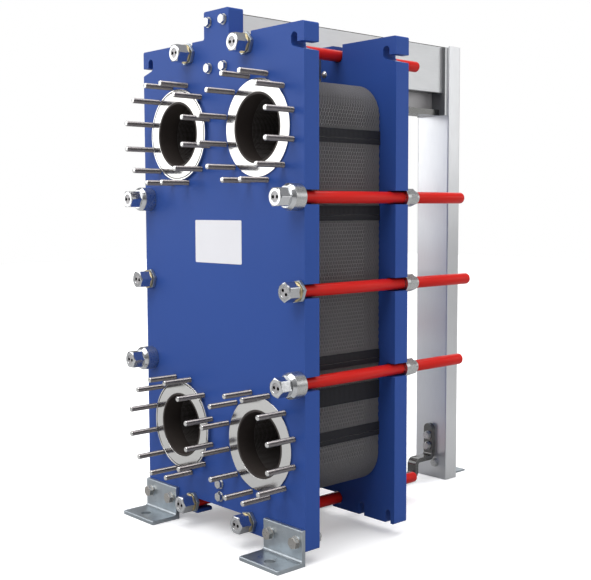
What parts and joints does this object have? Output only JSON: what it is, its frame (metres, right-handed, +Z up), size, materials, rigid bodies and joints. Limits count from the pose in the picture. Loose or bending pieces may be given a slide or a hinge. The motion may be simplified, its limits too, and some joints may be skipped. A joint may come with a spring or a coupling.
{
  "type": "gasketed plate heat exchanger",
  "caption": "Free-standing gasketed plate heat exchanger: plate pack clamped between two thick plates by long bolts, four studded ports, carrying bar and rear column.",
  "frame": {"origin": "on the floor, below the middle of the machine's overall box", "axes": "+X to the right seen from the ports, +Y from the ports back to the support column, +Z up"},
  "size_m": [0.76, 1.206, 1.523],
  "materials": {
    "frame_blue": "gloss blue two-coat paint with faint orange peel",
    "stainless": "turned face, fine rings",
    "zinc_steel": "zinc plated",
    "stud_steel": "oiled rolled thread",
    "black_rubber": "matt moulded rubber",
    "galvanised": "galvanised, slightly mottled",
    "bar_grey": "satin extruded",
    "brushed_alloy": "brushed lengthwise",
    "dark_stainless": "hot rolled stainless",
    "plated_bolt": "bright plated",
    "brass_washer": "yellow passivated",
    "red_plastic": "smooth thin tube",
    "plate_stainless": "pressed sheet",
    "white_label": "plain white film, nothing printed"
  },
  "bodies": {
    "frame": {"bearing_box_washers": "plated_bolt", "bearing_boxes": "zinc_steel", "blank_label": "white_label", "bolt_head_washers": "brass_washer", "bolt_seat_plates": "galvanised", "carrying_bar": "bar_grey", "carrying_bar_front_bolts": "zinc_steel", "carrying_bar_rear_bolts": "zinc_steel", "channel_plates_1": "plate_stainless", "column_foot_bolt": "zinc_steel", "column_foot_plate": "galvanised", "foot_bolts": "zinc_steel", "foot_nuts": "zinc_steel", "foot_washers": "zinc_steel", "frame_plate": "frame_blue", "front_foot_left": "galvanised", "front_foot_right": "galvanised", "front_thread_tubes": "red_plastic", "gaskets_1": "black_rubber", "guide_bar": "dark_stainless", "guide_bar_front_bolts": "zinc_steel", "guide_bar_rear_bolts": "zinc_steel", "port_linings": "black_rubber", "port_ring_lower_left": "stainless", "port_ring_lower_right": "stainless", "port_ring_upper_left": "stainless", "port_ring_upper_right": "stainless", "port_studs_lower_left": "stud_steel", "port_studs_lower_right": "stud_steel", "port_studs_upper_left": "stud_steel", "port_studs_upper_right": "stud_steel", "support_column": "brushed_alloy"},
    "pack_group_2": {"channel_plates_2": "plate_stainless", "gaskets_2": "black_rubber"},
    "pack_group_3": {"channel_plates_3": "plate_stainless", "gaskets_3": "black_rubber"},
    "pack_group_4": {"channel_plates_4": "plate_stainless", "gaskets_4": "black_rubber"},
    "pack_group_5": {"channel_plates_5": "plate_stainless", "gaskets_5": "black_rubber"},
    "pack_group_6": {"channel_plates_6": "plate_stainless", "gaskets_6": "black_rubber"},
    "pressure_plate_body": {"hanger_bolts": "zinc_steel", "hanger_brackets": "galvanised", "hanger_roller_pins": "zinc_steel", "nut_washers": "zinc_steel", "pressure_plate": "frame_blue", "rear_thread_tubes": "red_plastic", "tightening_nuts": "zinc_steel"},
    "hanger_roller_pair": {"hanger_rollers": "dark_stainless"},
    "bottom_left_bolt": {"tightening_bolt_bottom_left": "plated_bolt"},
    "bottom_right_bolt": {"tightening_bolt_bottom_right": "plated_bolt"},
    "lower_left_bolt": {"tightening_bolt_lower_left": "plated_bolt"},
    "lower_right_bolt": {"tightening_bolt_lower_right": "plated_bolt"},
    "middle_left_bolt": {"tightening_bolt_middle_left": "plated_bolt"},
    "middle_right_bolt": {"tightening_bolt_middle_right": "plated_bolt"},
    "top_left_bolt": {"tightening_bolt_top_left": "plated_bolt"},
    "top_right_bolt": {"tightening_bolt_top_right": "plated_bolt"},
    "upper_left_bolt": {"tightening_bolt_upper_left": "plated_bolt"},
    "upper_right_bolt": {"tightening_bolt_upper_right": "plated_bolt"}
  },
  "joints": [
    {"name": "pressure_plate_slide", "type": "slide", "parent": "frame", "child": "pressure_plate_body", "axis": [0, 1, 0], "range_m": [0, 0.2]},
    {"name": "pack_group_2_slide", "type": "slide", "parent": "frame", "child": "pack_group_2", "axis": [0, 1, 0], "range_m": [0, 0.03353]},
    {"name": "pack_group_3_slide", "type": "slide", "parent": "frame", "child": "pack_group_3", "axis": [0, 1, 0], "range_m": [0, 0.06687]},
    {"name": "pack_group_4_slide", "type": "slide", "parent": "frame", "child": "pack_group_4", "axis": [0, 1, 0], "range_m": [0, 0.1002]},
    {"name": "pack_group_5_slide", "type": "slide", "parent": "frame", "child": "pack_group_5", "axis": [0, 1, 0], "range_m": [0, 0.13353]},
    {"name": "pack_group_6_slide", "type": "slide", "parent": "frame", "child": "pack_group_6", "axis": [0, 1, 0], "range_m": [0, 0.16687]},
    {"name": "hanger_roller_turn", "type": "hinge", "parent": "pressure_plate_body", "child": "hanger_roller_pair", "pos_m": [0, -0.1235, 1.3192], "axis": [1, 0, 0], "range_deg": [-546.67, 1]},
    {"name": "top_left_bolt_turn", "type": "hinge", "parent": "frame", "child": "top_left_bolt", "pos_m": [-0.134, -0.503, 1.412], "axis": [0, 1, 0], "continuous": true},
    {"name": "top_right_bolt_turn", "type": "hinge", "parent": "frame", "child": "top_right_bolt", "pos_m": [0.134, -0.503, 1.412], "axis": [0, 1, 0], "continuous": true},
    {"name": "upper_left_bolt_turn", "type": "hinge", "parent": "frame", "child": "upper_left_bolt", "pos_m": [-0.344, -0.503, 0.99], "axis": [0, 1, 0], "continuous": true},
    {"name": "upper_right_bolt_turn", "type": "hinge", "parent": "frame", "child": "upper_right_bolt", "pos_m": [0.344, -0.503, 0.99], "axis": [0, 1, 0], "continuous": true},
    {"name": "middle_left_bolt_turn", "type": "hinge", "parent": "frame", "child": "middle_left_bolt", "pos_m": [-0.344, -0.503, 0.741], "axis": [0, 1, 0], "continuous": true},
    {"name": "middle_right_bolt_turn", "type": "hinge", "parent": "frame", "child": "middle_right_bolt", "pos_m": [0.344, -0.503, 0.741], "axis": [0, 1, 0], "continuous": true},
    {"name": "lower_left_bolt_turn", "type": "hinge", "parent": "frame", "child": "lower_left_bolt", "pos_m": [-0.344, -0.503, 0.492], "axis": [0, 1, 0], "continuous": true},
    {"name": "lower_right_bolt_turn", "type": "hinge", "parent": "frame", "child": "lower_right_bolt", "pos_m": [0.344, -0.503, 0.492], "axis": [0, 1, 0], "continuous": true},
    {"name": "bottom_left_bolt_turn", "type": "hinge", "parent": "frame", "child": "bottom_left_bolt", "pos_m": [-0.134, -0.503, 0.07], "axis": [0, 1, 0], "continuous": true},
    {"name": "bottom_right_bolt_turn", "type": "hinge", "parent": "frame", "child": "bottom_right_bolt", "pos_m": [0.134, -0.503, 0.07], "axis": [0, 1, 0], "continuous": true}
  ],
  "couplings": [
    {"joint": "pack_group_2_slide", "follows": "pressure_plate_slide", "ratio": 0.16667},
    {"joint": "pack_group_3_slide", "follows": "pressure_plate_slide", "ratio": 0.33333},
    {"joint": "pack_group_4_slide", "follows": "pressure_plate_slide", "ratio": 0.5},
    {"joint": "pack_group_5_slide", "follows": "pressure_plate_slide", "ratio": 0.66667},
    {"joint": "pack_group_6_slide", "follows": "pressure_plate_slide", "ratio": 0.83333},
    {"joint": "hanger_roller_turn", "follows": "pressure_plate_slide", "rad_per_m": -47.619},
    {"joint": "top_left_bolt_turn", "follows": "pressure_plate_slide", "rad_per_m": -1795.2},
    {"joint": "top_right_bolt_turn", "follows": "pressure_plate_slide", "rad_per_m": -1795.2},
    {"joint": "upper_left_bolt_turn", "follows": "pressure_plate_slide", "rad_per_m": -1795.2},
    {"joint": "upper_right_bolt_turn", "follows": "pressure_plate_slide", "rad_per_m": -1795.2},
    {"joint": "middle_left_bolt_turn", "follows": "pressure_plate_slide", "rad_per_m": -1795.2},
    {"joint": "middle_right_bolt_turn", "follows": "pressure_plate_slide", "rad_per_m": -1795.2},
    {"joint": "lower_left_bolt_turn", "follows": "pressure_plate_slide", "rad_per_m": -1795.2},
    {"joint": "lower_right_bolt_turn", "follows": "pressure_plate_slide", "rad_per_m": -1795.2},
    {"joint": "bottom_left_bolt_turn", "follows": "pressure_plate_slide", "rad_per_m": -1795.2},
    {"joint": "bottom_right_bolt_turn", "follows": "pressure_plate_slide", "rad_per_m": -1795.2}
  ]
}
